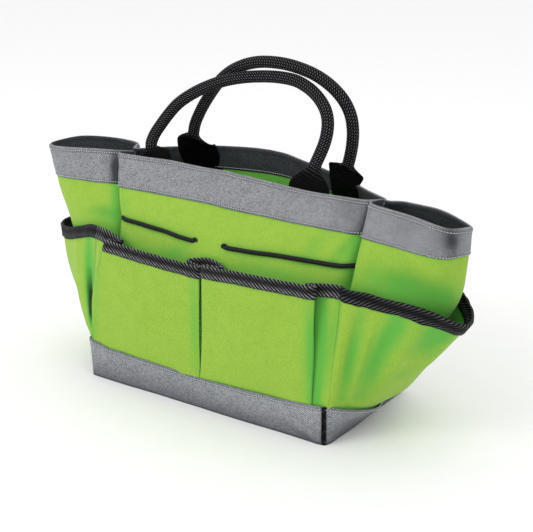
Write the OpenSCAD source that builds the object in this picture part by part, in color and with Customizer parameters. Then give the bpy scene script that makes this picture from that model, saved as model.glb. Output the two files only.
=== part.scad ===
// Open-topped fabric garden tool bag with a ring of outside pockets, a closed elastic cord and two
// webbing handles. X runs along the bag, Y from front to back, Z up; the origin is the middle of the
// underside of the base.

/* [Base] */
// Length of the base, corner to corner
base_len = 290; // [280:1:300]
// Depth of the base, front to back
base_dep = 150; // [144:1:156]
// Width of the grey band round the base
base_band_w = 36; // [30:1:40]
// How far the middle of each end leans out at the top of the base band
end_flare = 23; // [15:1:26]
// Thickness of the stiffening board in the base
board_t = 3; // [2:0.5:4]

/* [Fabric] */
// Thickness of the shell fabric with its lining
shell_t = 2; // [1.5:0.1:2.2]
// Thickness of the grey bands
band_t = 1.2; // [0.8:0.1:1.4]
// Thickness of the pocket fabric
pocket_t = 1.5; // [1:0.1:1.8]
// Thickness of the black binding tape
binding_t = 1; // [0.6:0.1:1.2]
// Height of the binding on each side of the pocket lip
binding_w = 12.5; // [10:0.5:14]
// Height of the rim band on the outside
rim_band_w = 35; // [30:1:38]
// Height of the rim hem on the inside
hem_w = 25; // [20:1:28]

/* [Handles] */
// Width of the handle webbing
webbing_w = 40; // [34:1:42]
// Thickness of the handle webbing
webbing_t = 1.8; // [1.4:0.1:2]
// Radius of the rolled grip
grip_r = 6; // [5:0.25:6.5]
// Radius of the rope inside the grip
core_r = 4; // [3:0.25:4.5]
// How far a sewn tab reaches down inside the rim
tab_len = 30; // [24:1:34]
// Lean of the front handle into the bag
front_lean = 22; // [18:1:24]
// Lean of the back handle into the bag
back_lean = 5; // [2:1:8]

/* [Elastic cord] */
// Diameter of the elastic cord
elastic_d = 4; // [3:0.25:4.5]

/* [Hidden] */

green = [0.63, 0.78, 0.3];
grey = [0.6, 0.61, 0.64];
dark_grey = [0.42, 0.43, 0.46];
black = [0.13, 0.13, 0.14];

half_len = base_len / 2;
half_dep = base_dep / 2;
drop_share = 0.48;
end_drop = end_flare * drop_share;
corner_ease = 8;
seam_ease = 2;
inner_col_x = 14;
outer_col_x = 78;
end_col_y = [0.56, 0.28];

// Every ring below has 32 points, counterclockwise from above, starting at the middle of the front:
// 0 to 3 front, 4 corner seam, 5 to 11 right end, 12 seam, 13 to 19 back, 20 seam, 21 to 27 left end,
// 28 seam, 29 to 31 front again.

// The base is a rectangle with eased corners; the ends lean out by flare and drop as they lean.
function base_half(flare, z, drop) = let (a = half_len, b = half_dep)
    concat([for (x = [inner_col_x, outer_col_x, a - corner_ease]) [x, -b, z]],
           [[a - seam_ease, seam_ease - b, z]],
           [for (y = [corner_ease - b, -end_col_y[0] * b, -end_col_y[1] * b, 0,
                      end_col_y[1] * b, end_col_y[0] * b, b - corner_ease])
               let (k = 1 - pow(y / b, 2)) [a + flare * k, y, z - drop * k]],
           [[a - seam_ease, b - seam_ease, z]],
           [for (x = [a - corner_ease, outer_col_x, inner_col_x]) [x, b, z]]);
function turned(points) = [for (p = points) [-p.x, -p.y, p.z]];
function base_ring(flare, z, drop) = let (right = base_half(flare, z, drop))
    concat([[0, -half_dep, z]], right, [[0, half_dep, z]], turned(right));

// The shell at the height of the pocket lips; the grooves at the seams are the folds drawn in by the cord.
WAIST = [[0, -60, 147], [14, -60, 147], [78, -57, 147], [138, -51, 147],
         [151, -40, 147], [152, -53, 147], [182, -48, 145], [219, -34, 143],
         [236, -10, 143], [223, 14, 143], [188, 32, 145], [156, 44, 147],
         [150, 36, 147], [138, 56, 147], [78, 69, 147], [14, 73, 147],
         [0, 74, 147], [-14, 74, 147], [-78, 72, 147], [-138, 60, 147],
         [-150, 40, 147], [-154, 52, 147], [-182, 40, 145], [-208, 20, 143],
         [-220, -6, 143], [-204, -31, 143], [-168, -46, 145], [-132, -51, 147],
         [-127, -41, 147], [-118, -54, 147], [-78, -58, 147], [-14, -60, 147]];
RIM = [[0, -11, 226], [14, -11, 226], [78, -13, 226], [143, -17, 225],
       [156, -6, 224], [157, -22, 224], [193, -25, 221], [235, -26, 217],
       [249, -12, 215], [240, 2, 215], [210, 6, 217], [172, 10, 220],
       [158, 6, 221], [146, 18, 223], [80, 48, 228], [14, 58, 232],
       [0, 59, 232], [-14, 60, 232], [-78, 58, 231], [-130, 40, 228],
       [-150, 9, 227], [-162, 24, 227], [-197, 33, 227], [-233, 22, 226],
       [-250, -2, 223], [-239, -19, 224], [-200, -17, 226], [-163, -11, 226],
       [-153, -4, 226], [-149, -14, 226], [-78, -10, 226], [-14, -10, 226]];
// The lips of the pocket ring; each long side dips in at its middle, where the ring is sewn to the shell.
LIPS = [[0, -64, 148], [14, -75, 148], [78, -77, 151], [128, -75, 151],
        [146, -68, 153], [164, -65, 152], [200, -60, 149], [240, -48, 139],
        [256, -24, 127], [250, 2, 132], [226, 30, 140], [172, 60, 147],
        [153, 66, 146], [136, 74, 147], [78, 86, 147], [14, 84, 147],
        [0, 76, 147], [-14, 84, 147], [-78, 86, 147], [-136, 74, 148],
        [-151, 66, 148], [-166, 62, 147], [-202, 42, 142], [-229, 17, 138],
        [-234, -8, 137], [-214, -33, 138], [-188, -46, 146], [-155, -59, 156],
        [-136, -67, 156], [-120, -75, 152], [-78, -78, 150], [-14, -75, 147]];

// Each ring gets one more point between each two, on a smooth curve through its neighbours.
function between(a, b, c, d) = (9 * (b + c) - (a + d)) / 16;
function refined(ring) = let (n = len(ring))
    [for (i = [0:n - 1])
        each [ring[i], between(ring[(i + n - 1) % n], ring[i], ring[(i + 1) % n], ring[(i + 2) % n])]];
function mix(a, b, f) = a + (b - a) * f;
LEVELS = [refined(base_ring(0, 0, 0)), refined(base_ring(end_flare, base_band_w, end_drop)),
          refined(WAIST), refined(RIM)];
LIP_RING = refined(LIPS);
COLS = len(LIP_RING);
SEAMS = [8, 24, 40, 56];
MID_WALL = 1.5;
WAIST_LEVEL = 2;
RIM_LEVEL = 3;
rim_rise = RIM[0].z - WAIST[0].z;
band_foot = RIM_LEVEL - rim_band_w / rim_rise;
hem_foot = RIM_LEVEL - hem_w / rim_rise;
lip_rise = LIPS[0].z - base_band_w;
binding_foot = 1 - binding_w / lip_rise;

// A point on the shell: column k counts round the bag, level v runs from 0 at the base to 3 at the rim.
function on_column(k, v) = let (i = max(0, min(RIM_LEVEL - 1, floor(v))))
    mix(LEVELS[i][k % COLS], LEVELS[i + 1][k % COLS], v - i);
function outward(t) = [t.y, -t.x, 0] / norm([t.x, t.y]);
function shell_at(k, v, d) = on_column(k, v)
    + d * outward(on_column(k + 1, v) - on_column(k + COLS - 1, v));
function shell_between(k, v, d) = let (i = floor(k)) mix(shell_at(i, v, d), shell_at(i + 1, v, d), k - i);
function pocket_column(k, s) = mix(LEVELS[1][k % COLS], LIP_RING[k % COLS], s);
function pocket_at(k, s, d) = pocket_column(k, s)
    + d * outward(pocket_column(k + 1, s) - pocket_column(k + COLS - 1, s));

// A sheet of fabric between two grids of points, which are lists of columns read from the bottom up.
// From row fold on the sheet runs back down inside itself, and its quads are split the other way.
module sheet(outer, inner, fold = 100) {
    nc = len(outer);
    nr = len(outer[0]);
    cells = [for (c = [0:nc - 2], r = [0:nr - 2]) [c, r]];
    function at(c, r, side) = (side * nc + c) * nr + r;
    function quad(a, b, c, d, other = false) = other ? [[a, b, d], [b, c, d]] : [[a, b, c], [a, c, d]];
    function flipped(list) = [for (f = list) [f[0], f[2], f[1]]];
    function cell(c, r, side) =
        [at(c, r, side), at(c, r + 1, side), at(c + 1, r + 1, side), at(c + 1, r, side)];
    faces = concat(
        [for (p = cells) let (q = cell(p.x, p.y, 0)) each quad(q[0], q[1], q[2], q[3], p.y >= fold)],
        [for (p = cells) let (q = cell(p.x, p.y, 1))
            each flipped(quad(q[0], q[1], q[2], q[3], p.y >= fold))],
        [for (c = [0:nc - 2])
            each quad(at(c, nr - 1, 0), at(c, nr - 1, 1), at(c + 1, nr - 1, 1), at(c + 1, nr - 1, 0))],
        [for (c = [0:nc - 2]) each quad(at(c, 0, 0), at(c + 1, 0, 0), at(c + 1, 0, 1), at(c, 0, 1))],
        [for (r = [0:nr - 2]) each quad(at(0, r, 0), at(0, r, 1), at(0, r + 1, 1), at(0, r + 1, 0))],
        [for (r = [0:nr - 2])
            each quad(at(nc - 1, r, 0), at(nc - 1, r + 1, 0), at(nc - 1, r + 1, 1), at(nc - 1, r, 1))]);
    polyhedron(points = concat([for (c = outer) each c], [for (c = inner) each c]), faces = faces);
}

// A tube or bar swept through rings of points; hole lists the rings of its bore, or is empty.
module swept(rings, hole = [], closed = false) {
    n = len(rings[0]);
    m = len(rings);
    base = n * m;
    last = closed ? m - 1 : m - 2;
    function at(i, j, o) = o + (i % m) * n + j % n;
    function quad(a, b, c, d) = [[a, b, c], [a, c, d]];
    function skin(o) = [for (i = [0:last], j = [0:n - 1])
        each quad(at(i, j, o), at(i, j + 1, o), at(i + 1, j + 1, o), at(i + 1, j, o))];
    function flipped(list) = [for (f = list) [f[2], f[1], f[0]]];
    function mouth(i) = [for (j = [0:n - 1])
        each quad(at(i, j, 0), at(i, j, base), at(i, j + 1, base), at(i, j + 1, 0))];
    function lid(i) = [for (j = [0:n - 1]) at(i, j, 0)];
    caps = closed ? []
        : len(hole) > 0 ? concat(mouth(0), flipped(mouth(m - 1)))
        : [[for (j = [n - 1:-1:0]) j], lid(m - 1)];
    polyhedron(points = concat([for (r = rings) each r], [for (r = hole) each r]),
               faces = concat(skin(0), len(hole) > 0 ? flipped(skin(base)) : [], caps));
}

function columns(from, to) = [for (k = [from:to]) k];

module shell_panel(from, to) {
    levels = [0, 1, MID_WALL, WAIST_LEVEL, band_foot, hem_foot, RIM_LEVEL];
    sheet([for (k = columns(from, to)) [for (v = levels) shell_at(k, v, 0)]],
          [for (k = columns(from, to)) [for (v = levels) shell_at(k, v, -shell_t)]]);
}

module base_band(from, to) {
    sheet([for (k = columns(from, to)) [for (v = [0, 1]) shell_at(k, v, band_t)]],
          [for (k = columns(from, to)) [for (v = [0, 1]) shell_at(k, v, 0)]]);
}

module corner_strip(from, to) {
    sheet([for (k = columns(from, to)) [for (v = [0, 1]) shell_at(k, v, band_t + binding_t)]],
          [for (k = columns(from, to)) [for (v = [0, 1]) shell_at(k, v, band_t)]]);
}

// The rim band is folded over the raw edge: outside leg, fold and inside hem.
RIM_FOLD = 3;
module rim_band(from, to) {
    up = [0, 0, band_t];
    sheet([for (k = columns(from, to))
              [shell_at(k, band_foot, band_t), shell_at(k, hem_foot, band_t),
               shell_at(k, RIM_LEVEL, band_t) + up, shell_at(k, RIM_LEVEL, -shell_t - band_t) + up,
               shell_at(k, hem_foot, -shell_t - band_t)]],
          [for (k = columns(from, to))
              [shell_at(k, band_foot, 0), shell_at(k, hem_foot, 0), shell_at(k, RIM_LEVEL, 0),
               shell_at(k, RIM_LEVEL, -shell_t), shell_at(k, hem_foot, -shell_t)]],
          RIM_FOLD);
}

mid_pocket = 0.45;
module pocket_panel(from, to) {
    steps = [0, mid_pocket, binding_foot, 1];
    sheet([for (k = columns(from, to)) [for (s = steps) pocket_at(k, s, pocket_t)]],
          [for (k = columns(from, to)) [for (s = steps) pocket_at(k, s, 0)]]);
}

BINDING_FOLD = 2;
module pocket_binding(from, to) {
    up = [0, 0, binding_t];
    sheet([for (k = columns(from, to))
              [pocket_at(k, binding_foot, pocket_t + binding_t), pocket_at(k, 1, pocket_t + binding_t) + up,
               pocket_at(k, 1, -binding_t) + up, pocket_at(k, binding_foot, -binding_t)]],
          [for (k = columns(from, to))
              [pocket_at(k, binding_foot, pocket_t), pocket_at(k, 1, pocket_t),
               pocket_at(k, 1, 0), pocket_at(k, binding_foot, 0)]],
          BINDING_FOLD);
}

module front_panel() { color(green) shell_panel(SEAMS[3], SEAMS[0] + COLS); }
module back_panel() { color(green) shell_panel(SEAMS[1], SEAMS[2]); }
module left_end_panel() { color(green) shell_panel(SEAMS[2], SEAMS[3]); }
module right_end_panel() { color(green) shell_panel(SEAMS[0], SEAMS[1]); }

base_fabric_t = 2;
module base_panel() {
    color(dark_grey) linear_extrude(base_fabric_t)
        polygon([for (k = columns(0, COLS - 1)) let (p = shell_at(k, 0, -shell_t)) [p.x, p.y]]);
}

board_gap = 4;
board_chamfer = 10;
module base_board() {
    a = half_len - board_gap;
    b = half_dep - board_gap;
    c = board_chamfer;
    color(dark_grey) translate([0, 0, base_fabric_t]) linear_extrude(board_t)
        polygon([[a - c, -b], [a, c - b], [a, b - c], [a - c, b],
                 [c - a, b], [-a, b - c], [-a, c - b], [c - a, -b]]);
}

module front_base_band() { color(grey) base_band(SEAMS[3], SEAMS[0] + COLS); }
module back_base_band() { color(grey) base_band(SEAMS[1], SEAMS[2]); }
module left_base_band() { color(grey) base_band(SEAMS[2], SEAMS[3]); }
module right_base_band() { color(grey) base_band(SEAMS[0], SEAMS[1]); }
strip_cols = 2;
module front_corner_strip() { color(black) corner_strip(SEAMS[0] - strip_cols, SEAMS[0]); }
module back_corner_strip() { color(black) corner_strip(SEAMS[2] - strip_cols, SEAMS[2]); }

module front_rim_band() { color(grey) rim_band(SEAMS[3], SEAMS[0] + COLS); }
module back_rim_band() { color(grey) rim_band(SEAMS[1], SEAMS[2]); }
module left_rim_band() { color(grey) rim_band(SEAMS[2], SEAMS[3]); }
module right_rim_band() { color(grey) rim_band(SEAMS[0], SEAMS[1]); }

module front_pocket_panel() { color(green) pocket_panel(SEAMS[3], SEAMS[0] + COLS); }
module back_pocket_panel() { color(green) pocket_panel(SEAMS[1], SEAMS[2]); }
module left_pocket_panel() { color(green) pocket_panel(SEAMS[2], SEAMS[3]); }
module right_pocket_panel() { color(green) pocket_panel(SEAMS[0], SEAMS[1]); }
module front_pocket_binding() { color(black) pocket_binding(SEAMS[3], SEAMS[0] + COLS); }
module back_pocket_binding() { color(black) pocket_binding(SEAMS[1], SEAMS[2]); }
module left_pocket_binding() { color(black) pocket_binding(SEAMS[2], SEAMS[3]); }
module right_pocket_binding() { color(black) pocket_binding(SEAMS[0], SEAMS[1]); }

// The elastic cord is one closed loop: along the outside of the front and back panels, through a pair of
// holes near the middle of each, and straight across the inside at each end, which pinches the seams.
ELASTIC = [[-130, -22, 167], [-129, -33, 167], [-125, -42, 168], [-116, -46, 168], [-98, -48, 167],
           [-78, -50, 166], [-52, -51, 165], [-31, -52, 164], [-21, -49, 163], [-14, -43, 163],
           [6, -43, 163], [13, -49, 163], [22, -52, 163], [48, -51, 164], [78, -50, 165],
           [108, -48, 166], [134, -47, 166], [144, -45, 166], [152, -35, 167], [153, -26, 167],
           [153, 0, 167], [153, 24, 167], [151, 34, 167], [143, 50, 167], [132, 54, 167],
           [108, 61, 167], [78, 67, 167], [48, 71, 167], [24, 73, 167], [14, 71, 167],
           [8, 65, 167], [-6, 65, 167], [-12, 71, 167], [-22, 74, 167], [-48, 73, 167],
           [-78, 71, 167], [-108, 66, 167], [-130, 60, 167], [-142, 54, 167], [-150, 38, 167],
           [-149, 24, 167], [-138, 0, 167]];
ELASTIC_SIDES = 8;
module elastic_cord() {
    n = len(ELASTIC);
    r = elastic_d / 2;
    color(black) swept(closed = true, rings = [for (i = [0:n - 1])
        let (t = ELASTIC[(i + 1) % n] - ELASTIC[(i + n - 1) % n], side = outward(t))
            [for (j = [0:ELASTIC_SIDES - 1]) let (a = 360 * j / ELASTIC_SIDES)
                ELASTIC[i] + r * (cos(a) * side + sin(a) * [0, 0, 1])]]);
}

// A flat end of the webbing, sewn to the inside of the hem and standing up to the hinge line.
sewing_gap = 0.9;
function rim_column(x, from, to) = [for (k = [from:to - 1])
    let (a = on_column(k, RIM_LEVEL).x, b = on_column(k + 1, RIM_LEVEL).x)
        if (min(a, b) <= x && x < max(a, b)) k + (x - a) / (b - a)][0];
module handle_tab(x, from, to, top_z) {
    ends = [for (side = [-1, 1]) rim_column(x + side * webbing_w / 2, from, to)];
    first = min(ends);
    last = max(ends);
    ks = concat([first], [for (k = [ceil(first):floor(last)]) k], [last]);
    d = -shell_t - band_t - sewing_gap;
    rise = shell_between(first, RIM_LEVEL, 0).z - shell_between(first, WAIST_LEVEL, 0).z;
    top = RIM_LEVEL + (top_z - shell_between((first + last) / 2, RIM_LEVEL, 0).z) / rise;
    levels = [RIM_LEVEL - tab_len / rise, hem_foot, RIM_LEVEL, top];
    color(black) sheet([for (k = ks) [for (v = levels) shell_between(k, v, d)]],
                       [for (k = ks) [for (v = levels) shell_between(k, v, d - webbing_t)]]);
}

// Hinge lines of the handles: across the top of the rim, parallel to X.
front_axis = [0, -12, 229];
back_axis = [0, 47, 236];
tab_drop = 1.8;
handle_offset = 4.8;
front_tab_x = [-107, 81];
back_tab_x = [-104, 92];
FRONT_ARCH = [[-107, 1], [-109, 10], [-111, 21], [-107, 33], [-97, 44], [-84, 56], [-66, 67], [-45, 78],
              [-22, 87], [0, 92], [20, 93], [40, 91], [57, 85], [71, 77], [81, 67], [87, 55],
              [88, 43], [86, 31], [84, 20], [82, 10], [81, 1]];
BACK_ARCH = [[-104, 1], [-105, 7], [-103, 16], [-94, 28], [-84, 41], [-71, 57], [-57, 71], [-41, 81],
             [-22, 88], [0, 91], [20, 91], [39, 87], [56, 80], [72, 70], [84, 58], [91, 45],
             [94, 31], [94, 17], [93, 7], [92, 1]];
GRIP_SIDES = 8;
foot_squareness = 0.35;
core_share = 0.2;
function signed_power(v, p) = sign(v) * pow(abs(v), p);
// One ring of the arch: half width a across the arch, half thickness b, round at p = 1 and boxy below.
function arch_ring(arch, i, a, b, p) = let (
    n = len(arch),
    t = i == 0 ? [0, 1] : i == n - 1 ? [0, -1] : arch[i + 1] - arch[i - 1],
    across = [t.y, -t.x] / norm(t))
    [for (j = [0:GRIP_SIDES - 1]) let (ang = 360 * (j + 0.5) / GRIP_SIDES,
        u = a * signed_power(cos(ang), p), w = b * signed_power(sin(ang), p))
        [arch[i].x + u * across.x, w, arch[i].y + u * across.y]];
foot_rings = 2;
function ramp(i, n) = min(1, min(i, n - 1 - i) / foot_rings);
function arch_rings(arch, foot, half, round) = let (n = len(arch))
    [for (i = [0:n - 1]) let (f = ramp(i, n))
        arch_ring(arch, i, mix(foot.x, round, f), mix(foot.y, round, f * f), mix(half, 1, f))];
function webbing_rings(arch) = arch_rings(arch, [webbing_w / 2, webbing_t / 2], foot_squareness, grip_r);
function core_rings(arch) = arch_rings(arch, [core_r, webbing_t * core_share], foot_squareness, core_r);

module placed_arch(axis, lean, into) {
    translate(axis) rotate([-into * lean, 0, 0]) translate([0, into * handle_offset, 0]) children();
}
module front_left_tab() { handle_tab(front_tab_x[0], SEAMS[3], COLS - 1, front_axis.z - tab_drop); }
module front_right_tab() { handle_tab(front_tab_x[1], 0, SEAMS[0], front_axis.z - tab_drop); }
module back_left_tab() { handle_tab(back_tab_x[0], SEAMS[1], SEAMS[2], back_axis.z - tab_drop); }
module back_right_tab() { handle_tab(back_tab_x[1], SEAMS[1], SEAMS[2], back_axis.z - tab_drop); }
module front_arch() { placed_arch(front_axis, front_lean, 1) children(); }
module back_arch() { placed_arch(back_axis, back_lean, -1) children(); }
module front_handle_webbing() {
    color(black) front_arch() swept(webbing_rings(FRONT_ARCH), core_rings(FRONT_ARCH));
}
module front_handle_core() { color(dark_grey) front_arch() swept(core_rings(FRONT_ARCH)); }
module back_handle_webbing() {
    color(black) back_arch() swept(webbing_rings(BACK_ARCH), core_rings(BACK_ARCH));
}
module back_handle_core() { color(dark_grey) back_arch() swept(core_rings(BACK_ARCH)); }

front_panel();
back_panel();
left_end_panel();
right_end_panel();
base_panel();
base_board();
front_base_band();
back_base_band();
left_base_band();
right_base_band();
front_corner_strip();
back_corner_strip();
front_rim_band();
back_rim_band();
left_rim_band();
right_rim_band();
front_pocket_panel();
back_pocket_panel();
left_pocket_panel();
right_pocket_panel();
front_pocket_binding();
back_pocket_binding();
left_pocket_binding();
right_pocket_binding();
elastic_cord();
front_left_tab();
front_right_tab();
back_left_tab();
back_right_tab();
front_handle_webbing();
front_handle_core();
back_handle_webbing();
back_handle_core();
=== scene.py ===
"""Garden tool bag: the visual pieces, built in millimetres and scaled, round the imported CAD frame."""
import math
from collections import namedtuple
import bpy
import numpy as np
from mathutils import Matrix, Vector
from mathutils.kdtree import KDTree


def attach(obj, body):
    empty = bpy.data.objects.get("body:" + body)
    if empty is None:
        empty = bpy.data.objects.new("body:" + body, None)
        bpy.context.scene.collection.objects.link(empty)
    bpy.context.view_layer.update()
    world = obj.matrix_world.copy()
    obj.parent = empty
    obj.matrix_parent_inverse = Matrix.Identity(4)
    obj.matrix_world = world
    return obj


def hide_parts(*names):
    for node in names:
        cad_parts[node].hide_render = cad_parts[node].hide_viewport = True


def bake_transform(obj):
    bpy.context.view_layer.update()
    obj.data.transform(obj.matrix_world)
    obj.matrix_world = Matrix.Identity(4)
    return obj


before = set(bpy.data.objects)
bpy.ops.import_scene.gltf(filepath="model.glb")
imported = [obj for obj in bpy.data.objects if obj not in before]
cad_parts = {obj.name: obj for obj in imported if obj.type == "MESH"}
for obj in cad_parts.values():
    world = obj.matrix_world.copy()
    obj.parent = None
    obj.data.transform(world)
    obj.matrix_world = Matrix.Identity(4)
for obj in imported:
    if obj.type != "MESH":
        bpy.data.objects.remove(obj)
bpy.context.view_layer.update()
MM = 0.001
UP = np.array([0.0, 0.0, 1.0])
TINY, FAR = 1e-9, 1e9

# ---------------------------------------------------------------- camera
AZIMUTH, ELEVATION = math.radians(34.4), math.radians(18.9)
TARGET, DISTANCE = Vector((0.027, 0.0, 0.132)), 1.190
SENSOR, FOCAL, FRAME_WIDTH = 36.0, 1200, 533
back = Vector((math.sin(AZIMUTH) * math.cos(ELEVATION),
               -math.cos(AZIMUTH) * math.cos(ELEVATION), math.sin(ELEVATION)))
cam_data = bpy.data.cameras.new("camera")
cam_data.sensor_width = SENSOR
cam_data.lens = SENSOR * FOCAL / FRAME_WIDTH
cam_data.clip_end = 20
camera = bpy.data.objects.new("camera", cam_data)
camera.location = TARGET + back * DISTANCE
camera.rotation_euler = back.to_track_quat("Z", "Y").to_euler()
bpy.context.scene.collection.objects.link(camera)
bpy.context.scene.camera = camera
bpy.context.scene.view_settings.view_transform = "Standard"


# ---------------------------------------------------------------- curves and grids
def unit(v):
    return v / np.maximum(np.linalg.norm(v, axis=-1, keepdims=True), TINY)


def nearest(values, target):
    """Index of the value closest to a target."""
    return int(np.argmin(abs(values - target)))


def smooth_at(points, u, closed=True):
    """Points on a smooth curve through points, at the parameters u, which count the points."""
    p, u = np.asarray(points, float), np.asarray(u, float)
    n = len(p)
    i = np.floor(u).astype(int)
    f = (u - i)[:, None]
    pick = (lambda k: p[k % n]) if closed else (lambda k: p[np.clip(k, 0, n - 1)])
    p0, p1, p2, p3 = pick(i - 1), pick(i), pick(i + 1), pick(i + 2)
    chord = np.linalg.norm(p2 - p1, axis=1, keepdims=True)

    def tangent(a, b):
        m = (b - a) / 2
        return m * np.minimum(1, chord / np.maximum(np.linalg.norm(m, axis=1, keepdims=True), TINY))
    m1, m2 = tangent(p0, p2), tangent(p1, p3)
    f2, f3 = f * f, f * f * f
    return (2 * f3 - 3 * f2 + 1) * p1 + (f3 - 2 * f2 + f) * m1 + (3 * f2 - 2 * f3) * p2 + (f3 - f2) * m2


def parameters(points, step, fewest=4, closed=True):
    """Curve parameters that put a sample about every step along the curve."""
    p = np.asarray(points, float)
    u = []
    for i in range(len(p) if closed else len(p) - 1):
        length = np.linalg.norm(p[(i + 1) % len(p)] - p[i])
        count = max(fewest, round(length / step))
        u += [i + k / count for k in range(count)]
    return np.array(u if closed else u + [len(p) - 1.0])


def relax(grid, passes, closed=True):
    """Rounds tight folds along the columns of a grid."""
    for _ in range(passes):
        near = (np.roll(grid, 1, 0) + np.roll(grid, -1, 0)) / 2
        if not closed:
            near[0], near[-1] = grid[0], grid[-1]
        grid = (grid + near) / 2
    return grid


def normals(grid):
    """Outward unit normals of a closed grid of columns that run counterclockwise and rows that run up."""
    along = np.roll(grid, -1, 0) - np.roll(grid, 1, 0)
    return unit(np.cross(along, np.gradient(grid, axis=1)))


def ridges(grid, marks):
    """Height of a set of soft ridges and valleys: (start, end, width, height) in mm."""
    total = np.zeros(grid.shape[:2])
    for a, b, width, height in marks:
        a, b = np.array(a, float), np.array(b, float)
        t = np.clip(((grid - a) @ (b - a)) / max((b - a) @ (b - a), TINY), 0, 1)
        gap = np.linalg.norm(grid - (a + t[..., None] * (b - a)), axis=-1)
        fade = 0.35 + 0.65 * np.sin(math.pi * np.clip(t, 0.12, 0.88))
        total += height * np.exp(-(gap / width) ** 2) * fade
    return total


WAVES = 14


def ripples(grid, seed, wave, height):
    """Smooth random unevenness, the same in every run."""
    rng = np.random.default_rng(seed)
    total = np.zeros(grid.shape[:2])
    for _ in range(WAVES):
        k = rng.normal(size=3)
        k *= 2 * math.pi / (wave * rng.uniform(0.7, 1.8) * np.linalg.norm(k))
        total += np.sin(grid @ k + rng.uniform(0, 2 * math.pi))
    return height * total / math.sqrt(WAVES)


# ---------------------------------------------------------------- meshes
def piece(name, verts, faces, material, weave=None, body="root", node=None, slot=None, sharp=None):
    """A mesh object from points in mm, with its thread coordinates in mm, placed on its body."""
    mesh = bpy.data.meshes.new(name)
    mesh.from_pydata((np.asarray(verts, float) * MM).tolist(), [], [list(map(int, f)) for f in faces])
    mesh.polygons.foreach_set("use_smooth", [True] * len(mesh.polygons))
    if sharp:
        mesh.set_sharp_from_angle(angle=math.radians(sharp))
    if weave is not None:
        layer = mesh.attributes.new("weave", "FLOAT_VECTOR", "POINT")
        layer.data.foreach_set("vector", np.asarray(weave, np.float32).ravel())
    mesh.materials.append(material)
    mesh.update()
    obj = bpy.data.objects.new(name, mesh)
    bpy.context.scene.collection.objects.link(obj)
    if body:
        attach(obj, body)
    if node:
        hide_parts(*([node] if isinstance(node, str) else node))
    return obj


def loft_faces(nc, m, closed):
    """Faces of a loft of nc loops of m points, with its ends filled in unless it closes on itself."""
    c = np.arange(nc if closed else nc - 1)[:, None]
    j = np.arange(m)[None, :]
    d = (c + 1) % nc
    k = (j + 1) % m
    faces = np.stack([c * m + j, d * m + j, d * m + k, c * m + k], -1).reshape(-1, 4).tolist()
    if not closed:
        for q in range((m + 1) // 2 - 1):
            ring = [q, q + 1, m - 2 - q, m - 1 - q]
            ring = ring if ring[1] != ring[2] else ring[:2] + ring[3:]
            faces.append(ring)
            faces.append([(nc - 1) * m + r for r in reversed(ring)])
    return faces


def lengths(grid, axis):
    """Running length along one axis of a grid of points."""
    step = np.linalg.norm(np.diff(grid, axis=axis), axis=-1)
    pad = [(0, 0), (0, 0)]
    pad[axis] = (1, 0)
    return np.cumsum(np.pad(step, pad), axis=axis)


def loft(name, loops, material, closed=False, tone=None, even=True, **kw):
    """A closed skin through loops of points; loops is columns by points round by xyz.

    The third thread coordinate carries a depth of painted shade from 0 to 1, and on to 2 where the cloth is
    painted nearly black.
    An even piece counts its threads along the middle of its loops, any other along each line of points.
    """
    nc, m, _ = loops.shape
    along = lengths(np.broadcast_to(loops.mean(1, keepdims=True), loops.shape) if even else loops, 0)
    along -= along[nc // 2]
    around = lengths(loops, 1)
    weave = np.stack([along, around, np.zeros_like(along) if tone is None else tone], -1)
    return piece(name, loops.reshape(-1, 3), loft_faces(nc, m, closed), material,
                 weave.reshape(-1, 3), **kw)


def recoloured_between(obj, around, first, last, material):
    """Gives the faces of a loft between two points of its loops another material."""
    obj.data.materials.append(material)
    for face in obj.data.polygons:
        if first <= face.vertices[0] % around < last:
            face.material_index = 1


def layered(points, normal, path):
    """Loops that follow a path of (row, offset, lift) over a grid of points with its normals."""
    rows = [p[0] for p in path]
    off = np.array([p[1] for p in path])[None, :, None]
    lift = np.array([p[2] for p in path])[None, :, None]
    return points[:, rows] + off * normal[:, rows] + lift * UP


FOLD_POINTS = 9


def folded(foot, top, hem, outer, inner, thick, rise):
    """Path of a strip folded over an edge: up outside from row foot, over row top, down inside to row hem."""
    mid, half = (outer + inner) / 2, (outer - inner) / 2
    path = [[], []]
    for leg, (t, sign) in enumerate(((0, 1), (thick, -1))):
        a, b, r = outer - t, inner + t, half - t
        lift = rise - t
        path[leg] += [(foot, a - (0.3 if leg == 0 else 0), 0)]
        path[leg] += [(row, a, 0) for row in range(foot + 1, top)]
        path[leg] += [(top, mid + r * math.cos(q), lift * math.sin(q))
                      for q in np.linspace(0, math.pi, FOLD_POINTS)]
        path[leg] += [(row, b, 0) for row in range(top - 1, hem, -1)]
        path[leg] += [(hem, b + (0.3 if leg == 0 else 0), 0)]
    return path[0] + path[1][::-1]


def sheeted(first, last, outer, inner):
    """Path of a plain sheet between rows first and last."""
    rows = list(range(first, last + 1))
    return [(r, outer, 0) for r in rows] + [(r, inner, 0) for r in reversed(rows)]


def columns(grid, start, stop):
    """Columns start to stop of a closed grid, both included, past its end if need be."""
    n = len(grid)
    return grid[np.arange(start, stop + 1 if stop > start else stop + n + 1) % n]


def resampled(line, step):
    """A polyline resampled at equal steps: points and the fractional index of each."""
    run = lengths(line[:, None], 0)[:, 0]
    s = np.arange(step / 2, run[-1], step)
    index = np.interp(s, run, np.arange(len(line)))
    i = np.clip(index.astype(int), 0, len(line) - 2)
    f = (index - i)[:, None]
    return line[i] * (1 - f) + line[i + 1] * f, index


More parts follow.
